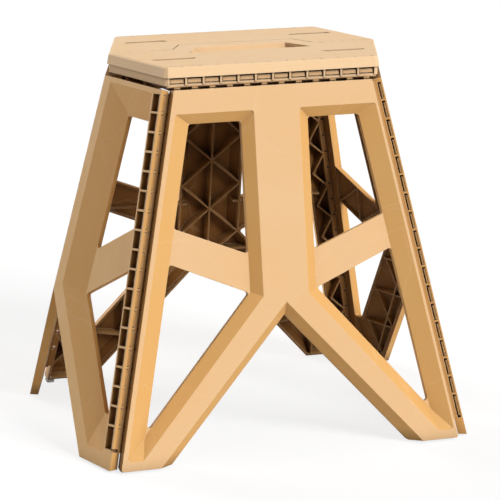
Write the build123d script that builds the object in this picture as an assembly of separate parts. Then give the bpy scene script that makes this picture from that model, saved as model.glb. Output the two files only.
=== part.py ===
from build123d import *
from math import atan2, cos, degrees, radians, sin
import os

# Folding step stool, millimetres, +Z up. Origin on the floor under the middle of the seat.
# The long axis of the seat is X and the front is -Y. The seat is two halves hinged on the
# centre line. Front and rear panels hang from the outer edges of the seat. On each side two
# half panels close the box. Every hinge is moulded in: a bar held by webs on one part, and
# snap hooks on the other.

# Driving dimensions
seat_z = 450.0            # top of the seat
seat_end = 164.8          # half length at the tips
seat_corner = 127.8       # half length at the corners
seat_edge = 112.2         # half width
top_skin = 3.0
lip_drop = 12.4           # height of the lip round the seat
lip_flare = 2.3           # how far its lower edge stands out
lip_bevel = 1.6
skirt_z = 427.9           # lower edge of the skirt
wall = 2.5
rib = 1.8

apex_z = 1026.0           # where all six upright hinge axes would meet
corner_run = 0.2048       # X of a corner axis per mm below the apex
corner_lean = 0.1763      # Y of a corner axis per mm below the apex
tip_run = 0.2633          # X of a side's middle axis per mm below the apex
floor_gap = 3.0           # plastic feet above the floor, filled by rubber pads

bar = 2.4                 # radius of every hinge bar
hook_in = 2.45            # hook inside radius
hook_out = 4.4            # hook outside radius
arm_low = 2.9             # a hook's root at the part, below and above the bar's axis
arm_high = 1.2
plate = 1.7               # thickness of a hook's end plate
web = 2.4                 # web between two hinge cells
play = 0.4                # end play of a hook in its cell

top_axis_y = 109.0        # seat to panel hinge axis
top_axis_z = 427.4
mid_axis_z = 427.5        # hinge axis between the seat halves
top_pitch = 20.8
top_cells = 12
top_room = 9.4            # depth of the seat's hinge cells behind that axis
corner_pitch = 22.0
corner_cells = 18
corner_first = 4.0        # first corner cell, below the top edge of the panel
corner_last = 406.0

panel_top_z = 424.4
panel_face = 14.0         # panel face outside its corner axes
panel_back = -3.0
panel_left = 2.6          # a panel's edges inside its corner axes
panel_right = 5.2
pocket_edge = 8.1         # from a corner axis to a panel's bevelled pocket
bevel_deep = 10.0         # depth of the bevelled pockets in a panel
side_top_z = 424.2
side_face = 10.4
side_back = 0.25
side_edge = -2.0          # side edge wall, outside the corner axis
side_bevel = 4.6
side_skin = 2.2           # thickness of a side's face
cell_wall = 1.8           # thickness of the walls and floors of its corner cells
hook_room = 0.5           # room round a hook in them
seam = 0.3                # half the gap where two mitred edges meet

apex = Vector(0, 0, apex_z)
panel_tilt = atan2(corner_lean, 1)
spread = corner_run * cos(panel_tilt)


def polygon(points):
    return Polygon(*points, align=None)


def slab(points, low, high, soft=0.0):
    """A flat outline between two heights, its corners rounded by soft."""
    outline = polygon(points)
    if soft:
        outline = fillet(outline.vertices(), soft)
    return extrude(Pos(0, 0, low) * outline, amount=high - low)


def crossing(p, d, q, e):
    """Where the line through p along d meets the line through q along e."""
    span = d[0] * e[1] - d[1] * e[0]
    along = ((q[0] - p[0]) * e[1] - (q[1] - p[1]) * e[0]) / span
    return (p[0] + along * d[0], p[1] + along * d[1])


def inset(points, widths):
    """Move each side of a counter-clockwise outline inwards by its own width."""
    if not isinstance(widths, (list, tuple)):
        widths = [widths] * len(points)
    lines = []
    for start, end, width in zip(points, points[1:] + points[:1], widths):
        run = Vector(end[0] - start[0], end[1] - start[1]).normalized()
        lines.append(((start[0] - run.Y * width, start[1] + run.X * width), (run.X, run.Y)))
    return [crossing(*lines[i - 1], *lines[i]) for i in range(len(lines))]


def funnel(outer, inner, high, low):
    """A pocket that narrows from one outline to another with flat sides."""
    rims = [Pos(0, 0, high) * polygon(outer), Pos(0, 0, low) * polygon(inner)]
    return loft([rim.faces()[0] for rim in rims], ruled=True)


def bevelled(outline, widths, high, low, soft=0.0):
    """A pocket cut down from high to low, each wall sloping in by its own width."""
    body = slab(outline, low, high, soft)
    wedges = []
    for start, end, width in zip(outline, outline[1:] + outline[:1], widths):
        slant = width / (high - low)
        run = Vector(end[0] - start[0], end[1] - start[1])
        side = Plane(origin=(start[0], start[1], 0), x_dir=(-run.Y, run.X, 0), z_dir=run)
        profile = [(-99, low - 1), (width + slant, low - 1), (-slant, high + 1), (-99, high + 1)]
        wedges.append(side * extrude(Pos(0, 0, -200) * polygon(profile), amount=run.length + 400))
    return body - wedges


def strip(a, b, thick, low, high):
    """A straight rib between two points."""
    run = Vector(b[0] - a[0], b[1] - a[1])
    middle = Vector((a[0] + b[0]) / 2, (a[1] + b[1]) / 2, (low + high) / 2)
    turn = degrees(atan2(run.Y, run.X))
    return Location(middle, (0, 0, turn)) * Box(run.length, thick, high - low)


# Hinges. In a hinge frame u runs from the axis into the part, v outwards through its face,
# and w along the axis.


class Axis3:
    """A hinge axis on a part: a point, and the directions u, v and w."""

    def __init__(self, point, u, v):
        self.point = Vector(*point)
        self.u = Vector(*u).normalized()
        self.v = Vector(*v).normalized()
        self.w = self.u.cross(self.v)

    def plane(self, along):
        return Plane(origin=self.point + self.w * along, x_dir=self.u, z_dir=self.w)

    def block(self, a, b, u, v):
        """A box from a to b along the axis, between two values of u and of v."""
        shape = slab([(u[0], v[0]), (u[1], v[0]), (u[1], v[1]), (u[0], v[1])], 0, b - a)
        return self.plane(a) * shape

    def rod(self, a, b, radius):
        return self.plane(a) * extrude(Circle(radius), amount=b - a)

    def ring(self, a, b, inner, outer, first, last):
        """Part of a ring about the axis, from angle first round to last."""
        middle = (first + last) / 2 + 180
        gap = [(0, 0)]
        for turn in (last, (last + middle) / 2, middle, (middle + first + 360) / 2, first + 360):
            gap.append((3 * outer * cos(radians(turn)), 3 * outer * sin(radians(turn))))
        shape = Circle(outer) - Circle(inner) - polygon(gap)
        return self.plane(a) * extrude(shape, amount=b - a)

    def arm(self, a, b, reach):
        """The root of a hook, from its ring along u to the part."""
        outline = polygon([(0, -hook_out), (reach, -arm_low), (reach, arm_high), (0, arm_high)])
        root = outline - Circle(hook_in + 0.5)
        return self.plane(a) * extrude(root, amount=b - a)


def cells(first, last, count, pitch):
    """Cell ends along a hinge: equal cells, and a longer last one."""
    ends = [first + pitch * k for k in range(count)] + [last]
    return list(zip(ends, ends[1:]))


# Seat

mid_gap = 0.4             # half the gap between the seat halves
tab_back = 30.5           # how far the handle tab reaches past the centre line
tab_wide = 86.5           # its half width on the centre line
tab_narrow = 70.0
tab_gap = 1.6
slot_front = -26.5        # hand slot
slot_back = 8.6
slot_wide = 76.0
slot_narrow = 55.6
mid_slots = [97.0, 111.0, 125.0, 139.0, 153.0]
mid_hook = 9.0            # length of a centre hook
mid_dot = 0.8             # half length of the small holes above them
grip_slot = [(75.0, 58.0), (132.0, 58.0), (126.0, 66.5), (81.0, 66.5)]
edge_slot = 0.6           # half width of the fine slots along the seat's long edges
corner_cut = 2.6          # how far the seat's corners are cut back
seat_rib_pitch = 28.0
seat_rib_z = 431.0
under_all = 400.0         # heights that a cut through the whole seat runs between
over_all = 500.0


def hexagon(grow):
    """Outline of the seat, its four corners cut, moved out by grow."""
    slope = Vector(seat_end - seat_corner, seat_edge).normalized() * corner_cut
    cut = [(seat_corner - corner_cut, -seat_edge), (seat_corner + slope.X, -seat_edge + slope.Y)]
    corners = cut + [(seat_end, 0)] + [(x, -y) for x, y in cut[::-1]]
    corners += [(-x, -y) for x, y in corners]
    return inset(corners, -grow)


def tab(grow):
    """Outline of the handle tab behind the centre line."""
    shape = [(-tab_wide, -0.5), (tab_wide, -0.5), (tab_narrow, tab_back), (-tab_narrow, tab_back)]
    return inset(shape, [-max(grow, 0), -grow, -grow, -grow])


def hand_slot(grow):
    shape = [(-slot_wide, slot_front), (slot_wide, slot_front), (slot_narrow, slot_back),
             (-slot_narrow, slot_back)]
    return inset(shape, -grow)


def half_plan(side, start):
    """Everything past start on one side of the centre line."""
    ends = sorted([side * start, side * 200])
    return [(-200, ends[0]), (200, ends[0]), (200, ends[1]), (-200, ends[1])]


def seat_shell(side):
    """Half of the seat with its lip, skirt and inner ribs, before its hinges."""
    under = seat_z - lip_drop
    shoulder = seat_z - lip_bevel
    body = funnel(hexagon(lip_flare), hexagon(0.3), under, shoulder)
    body += funnel(hexagon(0.3), hexagon(-lip_bevel), shoulder, seat_z)
    body += slab(hexagon(0), skirt_z, under)
    plan = slab(half_plan(side, mid_gap), under_all, over_all)
    room = slab(hexagon(-wall), skirt_z - 1, seat_z - top_skin)
    room &= slab(half_plan(side, mid_gap + wall), under_all, over_all)
    room -= slab(half_plan(side, top_axis_y - top_room - wall), under_all, over_all)
    if side < 0:
        body &= plan + slab(tab(0), under_all, over_all)
        neck = [(-tab_wide + 9, -9), (tab_wide - 9, -9), (tab_wide - 9, 4), (-tab_wide + 9, 4)]
        room += slab(tab(-wall), skirt_z - 1, seat_z - top_skin)
        room += slab(neck, skirt_z - 1, seat_z - top_skin)
        room -= slab(hand_slot(wall), under_all, over_all)
        body -= slab(hand_slot(0), under_all, over_all)
    else:
        body = (body & plan) - slab(tab(tab_gap), under_all, over_all)
        room -= slab(tab(tab_gap + wall), under_all, over_all)
    high = seat_z - seat_rib_z
    ribs = [Pos(k * seat_rib_pitch, 0, seat_rib_z + high / 2) * Box(rib, 400, high) for k in range(-5, 6)]
    ribs += [Pos(0, side * y, seat_rib_z + high / 2) * Box(400, rib, high) for y in (22, 48, 74, -22)]
    slots = []
    for turn in (1, -1):
        points = [(turn * x, side * y) for x, y in grip_slot]
        if turn * side < 0:
            points = points[::-1]
        slots.append(slab(points, under_all, over_all))
        room -= slab(inset(points, -2.0), under_all, over_all)
    body -= room - ribs
    return body - slots


def seat_half(side):
    """One half of the seat. Side is -1 for the front half, which carries the handle tab."""
    body = seat_shell(side)
    axis = Axis3((0, side * top_axis_y, top_axis_z), (0, -side, 0), (0, 0, 1))
    reach = top_pitch * top_cells / 2
    under = seat_z - lip_drop - top_axis_z
    ceiling = seat_z - top_skin - top_axis_z
    gaps = []
    for a, b in cells(-reach, reach, top_cells, top_pitch):
        low = a + web / 2
        high = b - web / 2
        gaps.append(axis.block(low, high, (-4, top_room), (-8, under)))
        gaps.append(axis.block(low, high, (-0.7, top_room), (0, ceiling)))
        gaps.append(axis.block(low + 1.0, high - 1.0, (-edge_slot, edge_slot), (ceiling - 1, ceiling + 9)))
        ends = (low + 1.0, low + 2.8) if axis.w.X < 0 else (high - 2.8, high - 1.0)
        gaps.append(axis.block(*ends, (-1.6, 2.4), (ceiling - 1, ceiling + 9)))
    body -= gaps
    body += axis.rod(-reach - web / 2, reach + web / 2, bar)

    # Centre hinge: bars on the rear half, hooks on the front half
    middle = Axis3((0, 0, mid_axis_z), (0, side, 0), (0, 0, 1))
    ends = (mid_slots[0] - mid_hook, mid_slots[-1] + 6.5)
    runs = [ends, (-ends[1], -ends[0])]
    centres = mid_slots + [-x for x in mid_slots]
    spots = [(x - mid_hook / 2, x + mid_hook / 2) for x in centres]
    near = mid_gap + wall
    slots = [middle.block(x - mid_dot, x + mid_dot, (near, near + 2.6), (10, 40)) for x in centres]
    if side < 0:
        body -= [middle.rod(a - 2, b + 2, hook_in + 0.2) for a, b in runs] + slots
        body += [middle.ring(a + play, b - play, hook_in, hook_out, 15, 250) for a, b in spots]
        body += [middle.block(a + play, b - play, (2.6, hook_out), (0.4, hook_out)) for a, b in spots]
    else:
        body -= [middle.block(a, b, (-1, 5.4), (-9, 5.4)) for a, b in spots] + slots
        body += [middle.rod(a, b, bar) for a, b in runs]
    return body


# Panels. A panel frame has its origin at the apex, X level, Y up the slope, Z outwards.

stem = 27.3               # half width of the middle stem's flat
pocket_top = 27.2         # bevelled pockets, down the slope from the top edge
pocket_low = 417.5
pocket_knee = 241.6       # where the diagonal leg's upper edge meets the stem
pocket_foot = 180.5       # X of that edge's lower end
leg_crotch = 249.6        # lower edge of the legs' flats on the centre line
leg_foot = 161.0          # its X at the floor
leg_floor = 428.8
crotch_drop = 15.4        # how far the legs' back edge is below the flat's edge
leg_bevel = 13.3          # widths of the bevels: above the leg, at the foot, by the edge, top, stem
foot_bevel = 26.0
edge_bevel = 20.0
top_bevel = 12.0
stem_bevel = 13.0
bar_high = [(136.0, 153.6), (30.0, 196.5)]
bar_low = [(146.0, 192.4), (30.0, 242.0)]
opening_soft = 3.0        # corner radius of the openings, the pockets and a panel's feet
pocket_soft = 4.5
foot_soft = 5.0
top_arm = 6.7             # width of the root of a hook on a panel's top edge
top_plate = (3.0, 7.6)    # how far its plate stands above the bar's axis
top_play = 1.3            # its end play
edge_plate = 7.8          # outer radius of the long hooks on a panel's right edge
edge_play = 2.2           # play above each of them

panel_frame = Plane(origin=apex, x_dir=(1, 0, 0), z_dir=(0, -cos(panel_tilt), sin(panel_tilt)))
panel_top = (apex_z - panel_top_z + panel_face * sin(panel_tilt)) / cos(panel_tilt)
panel_low = (apex_z - floor_gap + panel_face * sin(panel_tilt)) / cos(panel_tilt) + 2
leg_fall = (leg_floor - leg_crotch) / leg_foot


def edge_x(away, inside):
    """X of a panel's right edge that far from the apex, and that far inside its hinge axis."""
    return away * spread - inside * (1 + spread ** 2) ** 0.5


def from_top(points):
    """Points of a panel given as x, and distance down the slope from its top edge."""
    return [(x, -panel_top - s) for x, s in points]


def below_legs(drop, grow=0.0):
    """The triangle between the diagonal legs, its top drop below the flats' edge."""
    top = -panel_top - leg_crotch - drop + grow
    half = (panel_low + 20 + top) / leg_fall
    return [(0, top), (-half, -panel_low - 20), (half, -panel_low - 20)]


def pocket_outline():
    """The right-hand pocket's edge on the face, counter-clockwise from the stem's foot."""
    top = panel_top + pocket_top
    low = panel_top + pocket_low
    return [(stem, -panel_top - pocket_knee), (pocket_foot, -low), (edge_x(low, pocket_edge), -low),
            (edge_x(top, pocket_edge), -top), (stem, -top)]


def pocket_sill(pocket):
    """The pocket's outline at its full depth, where the foot's bevel has run out to a point."""
    leg = (pocket[0], (pocket[1][0] - pocket[0][0], pocket[1][1] - pocket[0][1]))
    edge = (pocket[3], (pocket[2][0] - pocket[3][0], pocket[2][1] - pocket[3][1]))
    corner = crossing(*leg, *edge)
    return inset([pocket[0], corner, pocket[3], pocket[4]], [leg_bevel, edge_bevel, top_bevel, stem_bevel])


def zigzag(a, b, c, d, count, start=0):
    """Ribs that run to and fro between the line a to b and the line c to d."""
    def on(first, last, k):
        share = k / count
        return (first[0] + (last[0] - first[0]) * share, first[1] + (last[1] - first[1]) * share)
    ribs = []
    for k in range(count):
        if (k + start) % 2:
            ribs.append((on(a, b, k), on(c, d, k + 1)))
        else:
            ribs.append((on(c, d, k), on(a, b, k + 1)))
    return ribs


def crossed(a, b, c, d, count):
    return zigzag(a, b, c, d, count) + zigzag(a, b, c, d, count, 1)


def mirrored(pairs):
    return [((-a[0], a[1]), (-b[0], b[1])) for a, b in pairs]


def panel_ribs():
    """Where the ribs behind a panel run, as pairs of points."""
    top = -panel_top
    middle = [((0, top), (0, top - 262))]
    middle += crossed((-38, top + 26), (-38, top - 304), (38, top + 26), (38, top - 304), 5)
    rim = [(edge_x(panel_top + s, 4), top - s) for s in (8, 406)]
    leg = zigzag((104, top - 13), (186, top - 411), *rim, 18)
    leg += zigzag((44, top - 238), (172, top - 388), (4, top - 262), (150, top - 428), 6)
    leg += [((66, top), (66, top - 40)), ((100, top), (88, top - 40))]
    leg += [((146, top - 194.7), (30, top - 196.5))]
    return middle + leg + mirrored(leg)


def both_sides(shape):
    return [shape, mirror(shape, about=Plane.YZ)]


def panel_outline(low, high, trim):
    """A panel's outline between two distances from the apex, each long edge moved in by trim."""
    right = panel_right + trim
    left = panel_left + trim
    return [(-edge_x(low, left), -low), (edge_x(low, right), -low), (edge_x(high, right), -high),
            (-edge_x(high, left), -high)]


def panel_shell():
    """A panel with its bevelled pockets, openings and inner ribs, before its hooks."""
    body = slab(panel_outline(panel_low, panel_top, 0), panel_back, panel_face)
    feet = [edge for edge in body.edges().filter_by(Axis.Z) if edge.center().Y < 1 - panel_low]
    body = fillet(feet, foot_soft)
    body -= slab(below_legs(crotch_drop), -20, 30)
    lift = crotch_drop / bevel_deep
    body -= funnel(below_legs(-lift), below_legs(crotch_drop), panel_face + 1, panel_face - bevel_deep)

    deep = panel_face - bevel_deep
    back = panel_back - 1
    pocket = pocket_outline()
    widths = [leg_bevel, foot_bevel, edge_bevel, top_bevel, stem_bevel]
    sill = pocket_sill(pocket)
    beam = from_top([bar_low[1], bar_low[0], bar_high[0], bar_high[1]])
    holes = slab(sill, back, deep + 0.5) - slab(beam, back - 1, deep)
    holes = fillet(holes.edges().filter_by(Axis.Z), opening_soft)
    sunk = bevelled(pocket, widths, panel_face, deep, pocket_soft)
    body -= both_sides(sunk) + both_sides(holes)

    low = panel_low - 7
    room = slab(panel_outline(low, panel_top + wall, wall), back, panel_face - wall)
    room -= slab(below_legs(crotch_drop, 3.8), -20, 30)
    room -= funnel(below_legs(0, 5.0), below_legs(crotch_drop, 5.0), panel_face, deep - wall)
    plug = bevelled(inset(pocket, -3.0), widths, panel_face, deep - wall)
    plug += slab(inset(sill, -wall), back - 1, deep)
    room -= both_sides(plug)
    room += both_sides(slab(inset(beam, wall), back, deep - wall) & slab(sill, back, deep))
    room -= [strip(a, b, rib, back, panel_face) for a, b in panel_ribs()]
    return body - room


def corner_axis(side):
    """Hinge axis on a panel's left or right edge."""
    return Axis3((0, 0, 0), (-side, -spread, 0), (0, 0, 1))


def corner_spans(above, below):
    """Cells along a corner axis, measured from the apex, with their upper and lower ends moved in."""
    stretch = (1 + spread ** 2) ** 0.5
    spans = []
    for a, b in cells(corner_first, corner_last, corner_cells, corner_pitch):
        spans.append(((panel_top + a) * stretch + above, (panel_top + b) * stretch - below))
    return spans


def downwards(axis, spans):
    """Turn distances from the apex into values of w."""
    return spans if axis.w.Y < 0 else [(-b, -a) for a, b in spans]


def top_hooks():
    """Hooks on a panel's top edge. Each has a narrow root and a wide plate above the bar."""
    place = panel_frame.to_local_coords(Vector(0, -top_axis_y, top_axis_z))
    axis = Axis3((0, place.Y, place.Z), (0, -1, 0), (0, 0, 1))
    reach = place.Y + panel_top + 0.4
    half = top_pitch * top_cells / 2
    hooks = []
    for a, b in cells(-half, half, top_cells, top_pitch):
        start = (a + b - top_arm) / 2
        hooks.append(axis.ring(start, start + top_arm, hook_in, hook_out, -180, 45))
        hooks.append(axis.arm(start, start + top_arm, reach))
        clear = web / 2 + top_play
        hooks.append(axis.block(a + clear, b - clear, (-top_plate[1], -top_plate[0]), (0.3, 0.3 + plate)))
        hooks.append(axis.block(start, start + top_arm, (-top_plate[0] - 1.5, -top_plate[0]), (-0.5, 0.5)))
    return hooks


def corner_hooks():
    """Hooks on a panel's long edges. The right-hand ones reach round to a plate at the front."""
    hooks = []
    axis = corner_axis(-1)
    for a, b in downwards(axis, corner_spans(web / 2 + play, web / 2 + play)):
        hooks.append(axis.ring(a, b, hook_in, hook_out, -170, 24))
    axis = corner_axis(1)
    for a, b in downwards(axis, corner_spans(web / 2 + edge_play, web / 2 + play)):
        hooks.append(axis.ring(a, b, hook_in, hook_out, -135, 24))
        hooks.append(axis.arm(a, b, panel_right + 0.4))
        hooks.append(axis.ring(a, b, hook_in, edge_plate, -135, -115))
        hooks.append(axis.ring(a, b, edge_plate - plate, edge_plate, -214, -115))
    return hooks


def panel():
    """One panel in its own frame. Hooks stand on its top and both long edges."""
    return panel_shell() + top_hooks() + corner_hooks()


# Side halves. The frame is the front left one's: origin at the apex, X level towards the
# corner, Y up the slope, Z outwards. The plane Z = 0 holds its two hinge axes.

side_crotch = 260.1       # where the leg leaves the middle of the side, down from the top
side_foot = 62.7          # width of a side foot
side_toe = 51.0           # width of its flat and bevel where the pocket ends
tip_rim = 14.0            # flat rim beside the side's middle edge
rail = 15.3               # from a corner axis to the openings
side_bevels = [42.0, 0.0, 33.0, 45.0, 37.0]
side_beam = [(-25.0, 291.3), (150.0, 190.3), (150.0, 138.5), (-25.0, 239.3)]
side_sole = 416.8         # its pocket, down from the top edge: lower end, upper end and knee
side_head = 5.8
side_knee = 250.8
tip_first = 8.0
tip_last = 249.0
tip_cells = 10
tip_web = 6.0
tip_room = 5.2
fin = 4.4                 # how far the fin on a corner bar stands out
groove = 0.8              # depth of the grooves in the other kind's edge wall
dot = 1.2                 # length of the hole at each end of a groove
foot_wall = 22.0          # height of the closed foot below the corner cells

corner_line = Vector(-corner_run, -corner_lean, -1)
tip_line = Vector(-tip_run, 0, -1)
side_normal = tip_line.cross(corner_line).normalized()
side_frame = Plane(origin=apex, x_dir=Vector(0, 0, 1).cross(side_normal), z_dir=side_normal)
corner_slope = side_frame.to_local_coords(apex + corner_line)
tip_slope = side_frame.to_local_coords(apex + tip_line)
corner_tan = -corner_slope.X / corner_slope.Y
tip_tan = tip_slope.X / tip_slope.Y
side_steep = (1 - side_normal.Z ** 2) ** 0.5
side_top = (apex_z - side_top_z + side_face * side_normal.Z) / side_steep
side_low = (apex_z - floor_gap + side_face * side_normal.Z) / side_steep + 2
tip_out = side_face * abs(side_normal.Y) / (1 - side_normal.Y ** 2) ** 0.5


def corner_x(away, inside):
    return away * corner_tan - inside * (1 + corner_tan ** 2) ** 0.5


def tip_x(away, inside):
    """X at a distance inside the middle edge of the face."""
    return -away * tip_tan + (inside - tip_out) * (1 + tip_tan ** 2) ** 0.5


def from_tip(points):
    """Points of a side half, from the upper end of its middle edge."""
    return [(tip_x(side_top, 0) + x, -side_top - s) for x, s in points]


def corner_hinge():
    return Axis3((0, 0, 0), (-1, -corner_tan, 0), (0, 0, 1))


def tip_hinge():
    return Axis3((0, 0, 0), (1, -tip_tan, 0), (0, 0, 1))


def side_ribs():
    """Ribs behind a side's crossbar and leg, measured as from_tip does."""
    bar_ribs = [(123, 209), (78, 181), (86, 230), (40, 204)]
    runs = list(zip(bar_ribs, bar_ribs[1:]))
    runs.append(((14, 274), (108, 424)))
    for k in range(4):
        across = 46 + 32 * k
        down = 272 + 51 * k
        runs.append(((across - 60, down), (across + 4, down)))
        runs.append(((across, down), (across - 16, down + 49)))
    return runs


def side_shell():
    """A side half with its pocket, openings and inner ribs, before its hinges."""
    crotch = (tip_x(side_top + side_crotch, 0), -side_top - side_crotch)
    foot = (corner_x(side_low, side_edge) - side_foot, -side_low)
    beyond = (crotch[0] + (crotch[0] - foot[0]) * 0.1, crotch[1] + (crotch[1] - foot[1]) * 0.1)
    outline = [foot, (corner_x(side_low, side_edge), -side_low),
               (corner_x(side_top, side_edge), -side_top), (tip_x(side_top, -12), -side_top), beyond]
    body = slab(outline, side_back, side_face)

    sole = side_top + side_sole
    head = side_top + side_head
    knee = side_top + side_knee
    pocket = [(corner_x(sole, side_edge) - side_toe, -sole), (corner_x(sole, rail), -sole),
              (corner_x(head, rail), -head), (tip_x(head, tip_rim), -head),
              (tip_x(knee, tip_rim + 2), -knee)]
    deep = side_face - side_bevel
    back = side_back - 1
    sill = inset(pocket, side_bevels)
    beam = from_tip(side_beam)
    holes = slab(sill, back, deep + 0.5) - slab(beam, back - 1, deep)
    holes = fillet(holes.edges().filter_by(Axis.Z), opening_soft)
    body -= [bevelled(pocket, side_bevels, side_face, deep, opening_soft), holes]

    low = side_low - 7
    inner = inset(outline, wall)
    edge = [(corner_x(low, rail), -low), (corner_x(side_top, rail), -side_top)]
    room = slab([(inner[0][0], inner[0][1] + 7)] + edge + inner[3:], back, side_face - side_skin)
    axis = tip_hinge()
    room -= slab([(-400, -side_top - wall), (400, -side_top - wall), (400, 0), (-400, 0)], back, 20)
    room -= axis.block(400, 1200, (-40, tip_room + wall), (-9, 20))
    plug = bevelled(inset(pocket, -2.6), side_bevels, side_face, deep - side_skin)
    plug += slab(inset(sill, -side_skin), back - 1, deep)
    room -= plug
    room += slab(inset(beam, side_skin), back, deep - side_skin) & slab(sill, back, deep)
    ribs = crossed(*from_tip([(2, 20), (-16, 250), (56, 20), (40, 250)]), 6)
    ribs += [from_tip(run) for run in side_ribs()]
    room -= [strip(a, b, rib, back, side_face) for a, b in ribs]
    return body - room


def tip_spans(clear):
    """Cells along a side's middle axis, measured from the apex, each end moved in by clear."""
    stretch = (1 + tip_tan ** 2) ** 0.5
    pitch = (tip_last - tip_first) / tip_cells
    spans = []
    for k in range(tip_cells):
        start = side_top + tip_first + pitch * k
        spans.append((start * stretch + clear, (start + pitch) * stretch - clear))
    return spans


def edge_cells(axis, spans, foot):
    """Corner cells that open through a side's edge wall, with an empty last one down to the foot.
    A hollow behind each keeps the moulding thin."""
    near = edge_plate + hook_room
    gaps = []
    for a, b in spans + [foot]:
        gaps.append(axis.block(a, b, (-3, near), (-9, near)))
        gaps.append(axis.block(a, b, (near + cell_wall, rail - cell_wall), (-9, side_face - side_skin)))
    return gaps


def face_cells(axis, spans, foot):
    """Corner cells that open through a side's face, and behind only where a hook reaches in.
    Below the last one the edge is cut away."""
    gaps = [axis.block(*foot, (-3, bar), (-9, 20))]
    for a, b in spans:
        gaps.append(axis.block(a, b, (0.4, rail - cell_wall), (side_back + cell_wall, 20)))
        gaps.append(axis.block(a, b, (0.4, hook_out + hook_room), (-9, 20)))
        gaps.append(axis.block(a, b, (side_edge - 1, side_edge + groove), (hook_in, hook_in + hook_out)))
        for end in (a, b - dot):
            gaps.append(axis.block(end, end + dot, (side_edge - 1, 1), (3.6, 5.8)))
    return gaps


def side_half(with_bar):
    """The front left side half. The kind with the middle hinge's bar has corner cells that open
    through its edge wall. The other kind has cells that open through its face."""
    body = side_shell()
    axis = corner_hinge()
    spans = corner_spans(web / 2, web / 2)
    last = spans[-1][1]
    spans = downwards(axis, spans)
    foot = downwards(axis, [(last + web, side_low - foot_wall)])[0]
    body -= edge_cells(axis, spans, foot) if with_bar else face_cells(axis, spans, foot)
    ends = [value for span in spans for value in span]
    low = min(ends) - web
    high = max(ends) + web
    body += axis.rod(low, high, bar)
    if with_bar:
        body += axis.block(low, high, (side_edge, side_edge + 1.2), (1.2, fin))

    tip = tip_hinge()
    mitre = Pos(0, 200 - seam, 300) * Box(1000, 400, 1000)
    body -= side_frame.location.inverse() * mitre
    fingers = tip_spans(tip_web / 2)
    first = fingers[0][0] - tip_web
    last = fingers[-1][1] + tip_web
    if with_bar:
        body -= [tip.block(a, b, (-30, tip_room), (-9, tip_room)) for a, b in fingers]
        return body + tip.rod(first, last, bar)
    body -= tip.rod(first - 1, last + 1, bar + 0.25)
    ribs = zip([first] + [b for a, b in fingers], [a for a, b in fingers] + [last])
    return body - [tip.block(a - play, b + play, (-30, tip_room), (-9, tip_room)) for a, b in ribs]


# Rubber pads under the outer corners of the panels

pad_long = 10.0
pad_deep = 13.0
pad_x = 200.5
peg = 2.5


def pad_y(side):
    """Middle of a panel's foot at the floor."""
    face = panel_frame.to_local_coords(Vector(0, 0, floor_gap))
    middle = panel_frame.from_local_coords(Vector(0, face.Y, (panel_face + panel_back) / 2))
    return side * -middle.Y


def pad(x, y):
    sole = Pos(x, y, floor_gap / 2) * Box(pad_long, pad_deep, floor_gap)
    sole = fillet(sole.edges().filter_by(Axis.Z), 3.0)
    sole = chamfer(sole.faces().sort_by(Axis.Z)[0].edges(), 0.6)
    return sole + Pos(x, y, floor_gap + 1.5) * Cylinder(peg, 3.0)


def turned(shape):
    return Rot(0, 0, 180) * shape


below_floor = Pos(0, 0, floor_gap - 100) * Box(1000, 1000, 200)
foot_spots = {
    "left_front": (-pad_x, pad_y(-1)),
    "right_front": (pad_x, pad_y(-1)),
    "left_rear": (-pad_x, pad_y(1)),
    "right_rear": (pad_x, pad_y(1)),
}
sockets = [Pos(x, y, floor_gap) * Cylinder(peg + 0.1, 7.0) for x, y in foot_spots.values()]

front_panel = (panel_frame * panel()) - below_floor - sockets
left_front = (side_frame * side_half(False)) - below_floor
left_rear = mirror((side_frame * side_half(True)) - below_floor, about=Plane.XZ)

parts = {
    "seat_front": seat_half(-1),
    "seat_rear": seat_half(1),
    "front_panel": front_panel,
    "rear_panel": turned(front_panel),
    "side_left_front": left_front,
    "side_left_rear": left_rear,
    "side_right_front": turned(left_rear),
    "side_right_rear": turned(left_front),
}
for name, spot in foot_spots.items():
    parts["foot_pad_" + name] = pad(*spot)

os.makedirs("parts", exist_ok=True)
for name, shape in parts.items():
    print(name, len(shape.solids()), round(shape.volume / 1000, 1))
    export_step(shape, "parts/" + name + ".step")
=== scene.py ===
import math
import bpy
import numpy as np
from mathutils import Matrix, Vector


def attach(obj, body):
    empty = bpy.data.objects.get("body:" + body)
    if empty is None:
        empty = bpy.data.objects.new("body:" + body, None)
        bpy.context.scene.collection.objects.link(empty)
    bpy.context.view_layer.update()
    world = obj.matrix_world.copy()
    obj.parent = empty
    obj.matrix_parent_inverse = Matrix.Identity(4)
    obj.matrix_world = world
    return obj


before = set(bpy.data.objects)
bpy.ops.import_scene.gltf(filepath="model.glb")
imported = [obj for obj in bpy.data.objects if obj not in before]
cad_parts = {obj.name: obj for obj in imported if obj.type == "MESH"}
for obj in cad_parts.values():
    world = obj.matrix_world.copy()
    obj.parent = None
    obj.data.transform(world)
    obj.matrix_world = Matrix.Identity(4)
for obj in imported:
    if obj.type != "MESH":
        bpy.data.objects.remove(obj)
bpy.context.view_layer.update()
scene = bpy.context.scene
scene.view_settings.view_transform = "Standard"
print("stool: frame loaded,", len(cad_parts), "moulded parts")


# Short helpers, so that each material below reads as a list of what it is made of

def newMaterial(name):
    material = bpy.data.materials.new(name)
    material.use_nodes = True
    material.node_tree.nodes.clear()
    return material, material.node_tree


def addNode(tree, kind, inputs=None, **settings):
    node = tree.nodes.new(kind)
    for key, value in settings.items():
        setattr(node, key, value)
    for key, value in (inputs or {}).items():
        if isinstance(value, bpy.types.NodeSocket):
            tree.links.new(value, node.inputs[key])
        else:
            node.inputs[key].default_value = value
    return node


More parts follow.
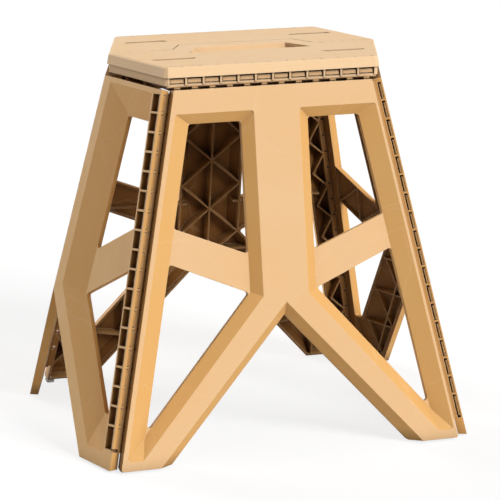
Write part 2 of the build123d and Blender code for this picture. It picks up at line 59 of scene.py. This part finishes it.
def mathNode(tree, operation, first, second=0.0, clamp=False):
    node = addNode(tree, "ShaderNodeMath", {0: first, 1: second}, operation=operation, use_clamp=clamp)
    return node.outputs[0]


def vectorNode(tree, operation, first, second=None):
    inputs = {0: first} if second is None else {0: first, 1: second}
    return addNode(tree, "ShaderNodeVectorMath", inputs, operation=operation)


def rangeNode(tree, value, before, after=(0.0, 1.0)):
    # Takes a value from one span to another, held at the ends
    ends = {"From Min": before[0], "From Max": before[1], "To Min": after[0], "To Max": after[1]}
    return addNode(tree, "ShaderNodeMapRange", {"Value": value, **ends}).outputs[0]


def noiseNode(tree, place, scale, detail):
    return addNode(tree, "ShaderNodeTexNoise", {"Vector": place, "Scale": scale, "Detail": detail})


def bumpNode(tree, height, distance, **inputs):
    return addNode(tree, "ShaderNodeBump", {"Height": height, "Distance": distance, **inputs}).outputs[0]


def mixColours(tree, share, first, second, blend="MIX"):
    # Sockets 6, 7 and 2 are the mix node's two colours in and its colour out
    node = addNode(tree, "ShaderNodeMix", {0: share, 6: first, 7: second}, data_type="RGBA", blend_type=blend)
    return node.outputs[2]


# Tan moulded plastic: painted light and shade by the way a surface faces, pale on outer faces and darker
# on the pocket slopes and inward faces; painted shade in recesses; cloudy pigment, fine grain, and
# rounded edges that wear pale, partly a painted highlight

tanPlastic = {
    "cloudColour": (1.0, 0.96, 0.90, 1.0),  # what the pigment's clouds multiply the colour by
    # the colours of inward faces and of recesses are painted shade
    "insideShadeColour": (0.30, 0.135, 0.034, 1.0),
    "recessShadeColour": (0.045, 0.012, 0.002, 1.0),
    # the edges' colour is partly wear and partly a painted highlight
    "edgeWearAndHighlightColour": (0.98, 0.78, 0.55, 1.0),
    "flowColour": (0.90, 0.66, 0.42, 1.0),
    "cloudScale": 9.0,
    "cloudRange": (0.35, 0.65),
    "flowScale": 7.0,  # melt fronts, about as far apart as the moulding's gates
    "flowPush": 0.12,
    "flowWidth": 0.010,
    "flowShare": 0.13,
    "grainScale": 1400.0,
    "grainHeight": 0.00003,
    "rippleScale": 70.0,
    "rippleRange": (0.3, 0.7),
    "rippleHeight": 0.0001,
    "roughness": (0.58, 0.70),
    "edgeRadius": 0.0009,
    "edgeWearAndHighlight": 4.8,
    "ior": 1.49,
    "specular": 0.2,
    "recessReach": 0.022,  # how deep a recess has to be for painted shade to darken it
    "recessShare": 1.0,
    "recessPower": 1.2,
}

# The way each kind of part faces in the quarter where x and y are positive, and the colours painted on it
# by how a surface turns from that face: painted light on the face, painted shade on the slopes beside it,
# and a dark painted-shade brown on faces that turn inward. The three kinds are one plastic; their colours
# are set apart as painted light and shade, with the seat's paler. The two spans are of the cosine between
# a surface and the face: the face's colour comes in over the first, and the inside's painted-shade colour
# goes out over the second.
panelSlope = Vector((0.0, 1.0, 0.1763))
cornerSlope = Vector((0.2048, 0.1763, -1.0))
tipSlope = Vector((0.2633, 0.0, -1.0))
outerFaces = {
    "seat": {"facing": Vector((0.0, 0.0, 1.0)), "slopeShadeFade": (0.0, 0.5), "outside": (-0.9, -0.5),
             "colour": (0.82, 0.58, 0.35, 1.0), "slopeShadeColour": (0.82, 0.57, 0.33, 1.0)},
    "panel": {"facing": panelSlope.normalized(), "slopeShadeFade": (0.95, 0.98), "outside": (-0.6, -0.1),
              "colour": (0.76, 0.49, 0.255, 1.0), "slopeShadeColour": (0.71, 0.405, 0.145, 1.0)},
    "side": {"facing": tipSlope.cross(cornerSlope).normalized(), "slopeShadeFade": (0.995, 0.999),
             "outside": (-0.6, -0.1), "colour": (0.80, 0.490, 0.210, 1.0),
             "slopeShadeColour": (0.74, 0.405, 0.135, 1.0)},
}


def plasticMaterial(name, look, face):
    material, tree = newMaterial(name)
    texture = addNode(tree, "ShaderNodeTexCoord")
    place = texture.outputs["Object"]
    cloud = noiseNode(tree, place, look["cloudScale"], 4.0)
    grain = noiseNode(tree, place, look["grainScale"], 2.0)
    ripple = noiseNode(tree, place, look["rippleScale"], 3.0)

    # Rounded edges: where the smoothed normal leaves the true one, the edge turns pale in cloudy patches,
    # partly real wear and partly a painted highlight
    rounded = addNode(tree, "ShaderNodeBevel", {"Radius": look["edgeRadius"]}, samples=4).outputs[0]
    flat = addNode(tree, "ShaderNodeNewGeometry").outputs["Normal"]
    turn = mathNode(tree, "SUBTRACT", 1.0, vectorNode(tree, "DOT_PRODUCT", rounded, flat).outputs["Value"])
    patches = mathNode(tree, "MULTIPLY", cloud.outputs["Fac"], look["edgeWearAndHighlight"])
    wearAndHighlight = mathNode(tree, "MULTIPLY", turn, patches, clamp=True)

    # Mirror the normal into one quarter, and compare it with the way that the outer face looks; from this
    # the colour is painted light on the face and painted shade on the slopes and on inward faces
    quarter = vectorNode(tree, "SIGN", place).outputs[0]
    mirrored = vectorNode(tree, "MULTIPLY", texture.outputs["Normal"], quarter).outputs[0]
    facing = vectorNode(tree, "DOT_PRODUCT", mirrored, face["facing"]).outputs["Value"]
    slopeShadeFade = rangeNode(tree, facing, face["slopeShadeFade"])
    outside = rangeNode(tree, facing, face["outside"])
    colour = mixColours(tree, slopeShadeFade, face["slopeShadeColour"], face["colour"])
    colour = mixColours(tree, outside, look["insideShadeColour"], colour)
    tone = rangeNode(tree, cloud.outputs["Fac"], look["cloudRange"])
    colour = mixColours(tree, tone, colour, look["cloudColour"], "MULTIPLY")

    # Faint lines where two fronts of melt met: cell edges of a pattern pushed about by the cloud
    pushed = vectorNode(tree, "MULTIPLY", cloud.outputs["Color"], (look["flowPush"],) * 3).outputs[0]
    moved = vectorNode(tree, "ADD", place, pushed).outputs[0]
    front = addNode(tree, "ShaderNodeTexVoronoi", {"Vector": moved, "Scale": look["flowScale"]},
                    feature="DISTANCE_TO_EDGE")
    line = rangeNode(tree, front.outputs["Distance"], (0.0, look["flowWidth"]), (look["flowShare"], 0.0))
    colour = mixColours(tree, line, colour, look["flowColour"])

    # Painted shade: narrow recesses, and spaces closed in by nearby surfaces, darken towards a near-black
    # brown
    clear = addNode(tree, "ShaderNodeAmbientOcclusion", {"Distance": look["recessReach"]}, samples=8)
    shut = mathNode(tree, "SUBTRACT", 1.0, clear.outputs["AO"])
    depth = mathNode(tree, "POWER", shut, look["recessPower"])
    paintedRecessShade = mathNode(tree, "MULTIPLY", depth, look["recessShare"], clamp=True)
    colour = mixColours(tree, paintedRecessShade, colour, look["recessShadeColour"])
    # pale edges: partly wear, partly a painted highlight
    colour = mixColours(tree, wearAndHighlight, colour, look["edgeWearAndHighlightColour"])

    rough = rangeNode(tree, ripple.outputs["Fac"], look["rippleRange"], look["roughness"])
    fine = bumpNode(tree, grain.outputs["Fac"], look["grainHeight"], Normal=rounded)
    wavy = bumpNode(tree, ripple.outputs["Fac"], look["rippleHeight"], Normal=fine)
    shader = addNode(tree, "ShaderNodeBsdfPrincipled",
                     {"Base Color": colour, "Roughness": rough, "Normal": wavy})
    shader.inputs["IOR"].default_value = look["ior"]
    shader.inputs["Specular IOR Level"].default_value = look["specular"]
    addNode(tree, "ShaderNodeOutputMaterial", {"Surface": shader.outputs[0]})
    return material


# Rubber feet: dull grey, a little dusty

padRubber = {
    "colour": (0.42, 0.41, 0.40, 1.0),
    "dust": (0.66, 0.63, 0.58, 1.0),
    "speckScale": 420.0,
    "speckRange": (0.45, 0.75),
    "speckHeight": 0.0001,
    "roughness": 0.82,
}


def rubberMaterial(name, look):
    material, tree = newMaterial(name)
    place = addNode(tree, "ShaderNodeTexCoord").outputs["Object"]
    speck = noiseNode(tree, place, look["speckScale"], 5.0)
    share = rangeNode(tree, speck.outputs["Fac"], look["speckRange"])
    colour = mixColours(tree, share, look["colour"], look["dust"])
    bump = bumpNode(tree, speck.outputs["Fac"], look["speckHeight"])
    shader = addNode(tree, "ShaderNodeBsdfPrincipled", {"Base Color": colour, "Normal": bump})
    shader.inputs["Roughness"].default_value = look["roughness"]
    addNode(tree, "ShaderNodeOutputMaterial", {"Surface": shader.outputs[0]})
    return material


materials = {kind: plasticMaterial(kind + "Plastic", tanPlastic, face) for kind, face in outerFaces.items()}
materials["pad"] = rubberMaterial("padRubber", padRubber)
for name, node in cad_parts.items():
    kind = next(kind for kind in ("pad", "seat", "panel", "side") if kind in name)
    node.data.materials.clear()
    node.data.materials.append(materials[kind])
print("stool: materials on", len(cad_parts), "parts")


# Inner wall under each seat half: it hangs behind the hinge cells and along the slanted ends, and
# closes the gap over the panel and the sides. Its path is that of the rear half.

innerWall = {
    "path": [(-0.1455, 0.020), (-0.1195, 0.0984), (0.1195, 0.0984), (0.1455, 0.020)],
    "thickness": 0.0022,
    "top": 0.447,
    "bottom": 0.4281,  # on the centre line, from where the lower edge slopes down and outwards
    "slope": 0.08,
}


def makeInnerWall(name, side, look):
    # A rectangle carried along the path: at each point it steps half the thickness to both sides,
    # along the mean of the two runs' normals, stretched so that the wall keeps its thickness
    path = np.array(look["path"]) * (1, side)
    runs = np.diff(path, axis=0)
    runs /= np.linalg.norm(runs, axis=1)[:, None]
    runs = np.concatenate([runs[:1], runs, runs[-1:]])
    across = (runs[:-1] + runs[1:])[:, ::-1] * (-1, 1)
    across /= (across ** 2).sum(axis=1)[:, None] / 2
    step = across * look["thickness"] / 2
    low = look["bottom"] - look["slope"] * np.abs(path[:, 1])
    high = np.full(len(path), look["top"])
    section = ((path - step, low), (path + step, low), (path + step, high), (path - step, high))
    rings = np.stack([np.column_stack(corner) for corner in section], axis=1)
    first = np.arange(len(path) - 1)[:, None] * 4
    corner = np.arange(4)[None, :]
    after = (corner + 1) % 4
    walls = np.stack([first + corner, first + after, first + 4 + after, first + 4 + corner], axis=-1)
    last = (len(path) - 1) * 4
    faces = walls.reshape(-1, 4).tolist() + [[3, 2, 1, 0], [last, last + 1, last + 2, last + 3]]
    mesh = bpy.data.meshes.new(name)
    mesh.from_pydata(rings.reshape(-1, 3).tolist(), [], faces)
    mesh.materials.append(materials["seat"])
    wall = bpy.data.objects.new(name, mesh)
    scene.collection.objects.link(wall)
    return wall


for bodyName, side in (("seat_front", -1), ("seat_rear", 1)):
    wall = makeInnerWall(bodyName + "_inner_wall", side, innerWall)
    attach(wall, bodyName)
print("stool: inner walls under the seat")


# Floor, light and camera

studio = {
    "floorHalf": 9.0,
    "floorColour": (0.50, 0.50, 0.50, 1.0),  # as the object's own light sees it
    "floorSeen": 0.25,  # the part of the floor's white that shadows can darken
    "floorWhite": 0.78,
    "ambient": 0.05,
    "key": {"from": (0.42, -0.77, 0.48), "strength": 3.35, "spread": 26.0},
    "top": {"from": (0.0, 0.0, 1.0), "strength": 0.5, "spread": 60.0},
    "rear": {"from": (-0.49, 0.85, 0.21), "strength": 3.3, "spread": 30.0},
}


def makeFloor(look):
    # A flat sheet: x and y run over the same span, z is nothing
    half = look["floorHalf"]
    corners = np.array([(-half, -half, 0), (half, -half, 0), (half, half, 0), (-half, half, 0)])
    mesh = bpy.data.meshes.new("floor")
    mesh.from_pydata(corners.tolist(), [], [(0, 1, 2, 3)])
    floor = bpy.data.objects.new("floor", mesh)
    scene.collection.objects.link(floor)
    material, tree = newMaterial("paleFloor")
    path = addNode(tree, "ShaderNodeLightPath")
    seen = mathNode(tree, "MAXIMUM", path.outputs["Is Camera Ray"], path.outputs["Is Glossy Ray"])
    plain = addNode(tree, "ShaderNodeBsdfDiffuse", {"Color": look["floorColour"]})
    shade = addNode(tree, "ShaderNodeBsdfDiffuse", {"Color": (look["floorSeen"],) * 3 + (1.0,)})
    white = addNode(tree, "ShaderNodeEmission", {"Strength": look["floorWhite"]})
    both = addNode(tree, "ShaderNodeAddShader", {0: shade.outputs[0], 1: white.outputs[0]})
    mix = addNode(tree, "ShaderNodeMixShader", {0: seen, 1: plain.outputs[0], 2: both.outputs[0]})
    addNode(tree, "ShaderNodeOutputMaterial", {"Surface": mix.outputs[0]})
    mesh.materials.append(material)


def makeLamp(name, look):
    lamp = bpy.data.lights.new(name, "SUN")
    lamp.energy = look["strength"]
    lamp.angle = math.radians(look["spread"])
    lampObject = bpy.data.objects.new(name, lamp)
    lampObject.rotation_euler = Vector(look["from"]).to_track_quat("Z", "Y").to_euler()
    scene.collection.objects.link(lampObject)


def makeWorld(look):
    # White where the camera or a reflection looks past the floor, and the plain level for the light
    world = bpy.data.worlds.new("studio")
    world.use_nodes = True
    tree = world.node_tree
    tree.nodes.clear()
    path = addNode(tree, "ShaderNodeLightPath")
    seen = mathNode(tree, "MAXIMUM", path.outputs["Is Camera Ray"], path.outputs["Is Glossy Ray"])
    level = rangeNode(tree, seen, (0.0, 1.0), (look["ambient"], 1.0))
    light = addNode(tree, "ShaderNodeBackground", {"Color": (1, 1, 1, 1), "Strength": level})
    addNode(tree, "ShaderNodeOutputWorld", {"Surface": light.outputs[0]})
    scene.world = world


makeFloor(studio)
makeWorld(studio)
for lampName in ("key", "top", "rear"):
    makeLamp(lampName + "Light", studio[lampName])
print("stool: floor and lights")

view = {
    "place": (-0.9008, -2.8068, 0.9504),
    "lookAt": (0.0, 0.0, 0.225),
    "lens": 181.0,
    "shift": (0.0135, -0.04),
}

cameraData = bpy.data.cameras.new("camera")
cameraData.lens = view["lens"]
cameraData.shift_x, cameraData.shift_y = view["shift"]
camera = bpy.data.objects.new("camera", cameraData)
camera.location = view["place"]
camera.rotation_euler = (Vector(view["place"]) - Vector(view["lookAt"])).to_track_quat("Z", "Y").to_euler()
scene.collection.objects.link(camera)
scene.camera = camera
